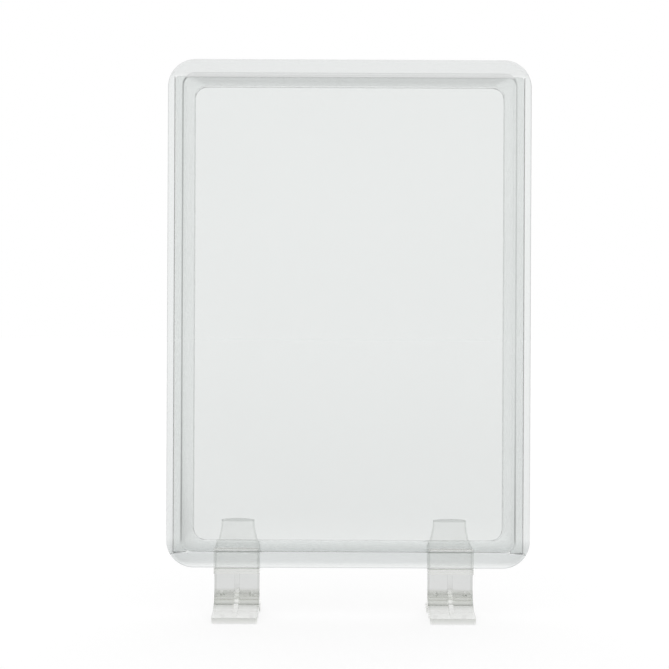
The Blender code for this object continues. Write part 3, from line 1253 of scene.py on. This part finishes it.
@dataclass
class Studio:
    """A plain pale floor, a pale backdrop in a dimmer room, and the camera."""

    camera_place: Triple = (-8.6 * MM, -800 * MM, 169.2 * MM)
    camera_roll: float = math.radians(-0.25)
    camera_clip: Span = (0.01, 100.0)
    lens: float = 71.6
    sensor: float = 36.0
    clear_bounces: int = 40
    gloss_bounces: int = 16
    floor_size: float = 80.0
    floor_level: float = 0.02 * MM
    floor_albedo: float = 0.25
    floor_bounce: float = 0.19
    floor_roughness: float = 0.9
    floor_far: float = 0.98
    floor_fade: float = 0.07
    floor_light: float = 1.02
    floor_patch: Span = (0.1, 0.5)
    backdrop_light: float = 1.06
    backdrop_foot: float = 1.05
    seen_light: float = 1.0
    side_light: float = 0.45
    front_light: float = 0.7
    gap_light: float = 0.8
    ceiling_light: float = 0.95
    front_edge: Span = (-0.9, -0.2)
    backdrop_turn: float = math.radians(4)
    backdrop_edge: Span = (math.radians(46), math.radians(18))
    backdrop_rise: Span = (0.0, math.radians(9))
    backdrop_top: Span = (math.radians(14.3), math.radians(17.5))
    ceiling_edge: Span = (math.radians(28), math.radians(42))

    def by_heading(self, wiring: Wiring, place: Socket) -> Socket:
        """Give the room's light by compass heading: the backdrop, the sides and the front.

        Args:
            wiring: The nodes to add to.
            place: A place or direction from the stand.

        Returns:
            The light.
        """
        flat = wiring.vector("MULTIPLY", place, (1.0, 1.0, 0.0))["Vector"]
        heading = wiring.vector("NORMALIZE", flat)["Vector"]
        ahead = (math.sin(self.backdrop_turn), math.cos(self.backdrop_turn), 0.0)
        turned = wiring.vector("DOT_PRODUCT", heading, ahead)["Value"]
        wall = wiring.ramp(turned, self.front_edge, self.front_light, self.side_light)
        edge = tuple(math.cos(angle) for angle in self.backdrop_edge)
        return wiring.ramp(turned, edge, wall, self.backdrop_light)

    def as_seen(self, wiring: Wiring, light: Socket) -> Socket:
        """Give a light to the rays that light the stand, and one plain white to the camera."""
        seen = wiring.add("LightPath").outputs["Is Camera Ray"]
        return wiring.ramp(seen, (0.0, 1.0), light, self.seen_light)

    def floor(self) -> None:
        """Lay the floor: bright where it is seen, and as bright as the room beyond where it is mirrored."""
        clear_bench()
        bpy.ops.mesh.primitive_plane_add(size=self.floor_size, location=(0, 0, self.floor_level))
        floor = bpy.context.object
        floor.name = "floor"
        material = bpy.data.materials.new("pale_floor")
        material.use_nodes = True
        wiring = Wiring(material.node_tree)
        place = wiring.add("TexCoord").outputs["Object"]
        away = wiring.vector("LENGTH", place)["Value"]
        fade = wiring.maths("DIVIDE", self.floor_fade, wiring.maths("ADD", away, 1.0))
        far = wiring.maths("MULTIPLY", self.by_heading(wiring, place),
                           wiring.maths("SUBTRACT", self.floor_far, fade))
        light = self.as_seen(wiring, wiring.ramp(away, self.floor_patch, self.floor_light, far))
        wiring.feed(material.node_tree.nodes["Principled BSDF"], {
            "Base Color": (*(self.floor_albedo,) * 3, 1.0), "Roughness": self.floor_roughness,
            "Specular IOR Level": 0.0, "Emission Color": WHITE,
            "Emission Strength": wiring.maths("SUBTRACT", light, self.floor_bounce),
        })
        dress(floor, material)

    def room(self) -> None:
        """Light the room: a bright backdrop, dimmer walls, a dim gap over them and a pale ceiling."""
        world = bpy.data.worlds.new("pale_room")
        bpy.context.scene.world = world
        world.use_nodes = True
        world.node_tree.nodes.clear()
        wiring = Wiring(world.node_tree)
        place = wiring.add("TexCoord").outputs["Generated"]
        rise = wiring.add("SeparateXYZ", {"Vector": place}).outputs["Z"]
        foot, top, ceiling = (
            tuple(math.sin(angle) for angle in span)
            for span in (self.backdrop_rise, self.backdrop_top, self.ceiling_edge))
        around = self.by_heading(wiring, place)
        share = wiring.ramp(rise, foot, self.backdrop_foot / self.backdrop_light, 1.0)
        wall = wiring.ramp(rise, top, wiring.maths("MULTIPLY", share, around),
                           wiring.maths("MULTIPLY", around, self.gap_light))
        light = self.as_seen(wiring, wiring.ramp(rise, ceiling, wall, self.ceiling_light))
        glow = wiring.add("Background", {"Color": WHITE, "Strength": light})
        wiring.add("OutputWorld", {"Surface": glow.outputs["Background"]})

    def camera(self) -> None:
        """Set up the camera."""
        clear_bench()
        turn = (math.pi / 2, self.camera_roll, 0.0)
        bpy.ops.object.camera_add(location=self.camera_place, rotation=turn)
        camera = bpy.context.object
        camera.name = "camera"
        camera.data.lens, camera.data.sensor_width = self.lens, self.sensor
        camera.data.clip_start, camera.data.clip_end = self.camera_clip
        bpy.context.scene.camera = camera

    def build(self) -> None:
        """Set up the whole studio, and how deep light is followed through clear plastic."""
        self.floor()
        self.room()
        self.camera()
        scene = bpy.context.scene
        scene.view_settings.view_transform = "Standard"
        scene.cycles.max_bounces = self.clear_bounces
        scene.cycles.transmission_bounces = self.clear_bounces
        scene.cycles.glossy_bounces = self.gloss_bounces
        scene.cycles.use_denoising = True


# The stand


def put_in(piece: Piece, body: str, node: str, material: Material) -> None:
    """Dress a piece with its finish, hang it on the body it rides on, and hide the node that it stands for.

    Args:
        piece: The piece.
        body: The body it moves with.
        node: The node it stands for.
        material: Its material.
    """
    dress(piece, material)
    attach(piece, body)
    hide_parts(node)
    log.info("%s: %d faces", piece.name, len(piece.data.polygons))


def main() -> None:
    """Build the stand and its studio."""
    logging.basicConfig(level=logging.INFO, format="%(name)s: %(message)s")
    effect = MouldedSurface().make()
    shell, film, foot = (finish.make(effect) for finish in (SHELL_PLASTIC, POCKET_FILM, FOOT_PLASTIC))
    size = FrameSize()
    put_in(FrontMoulding(size).build(), "frame", "front_shell", shell)
    put_in(RearMoulding(size).build(), "frame", "rear_shell", shell)
    put_in(FilmPocket(size).build(), "pocket", "card_pocket", film)
    for piece, side in zip(ClipFoot().build(), ("left", "right")):
        put_in(piece, f"{side}_foot", f"{side}_foot", foot)
    Studio().build()
    clear_bench()


if __name__ == "__main__":
    main()
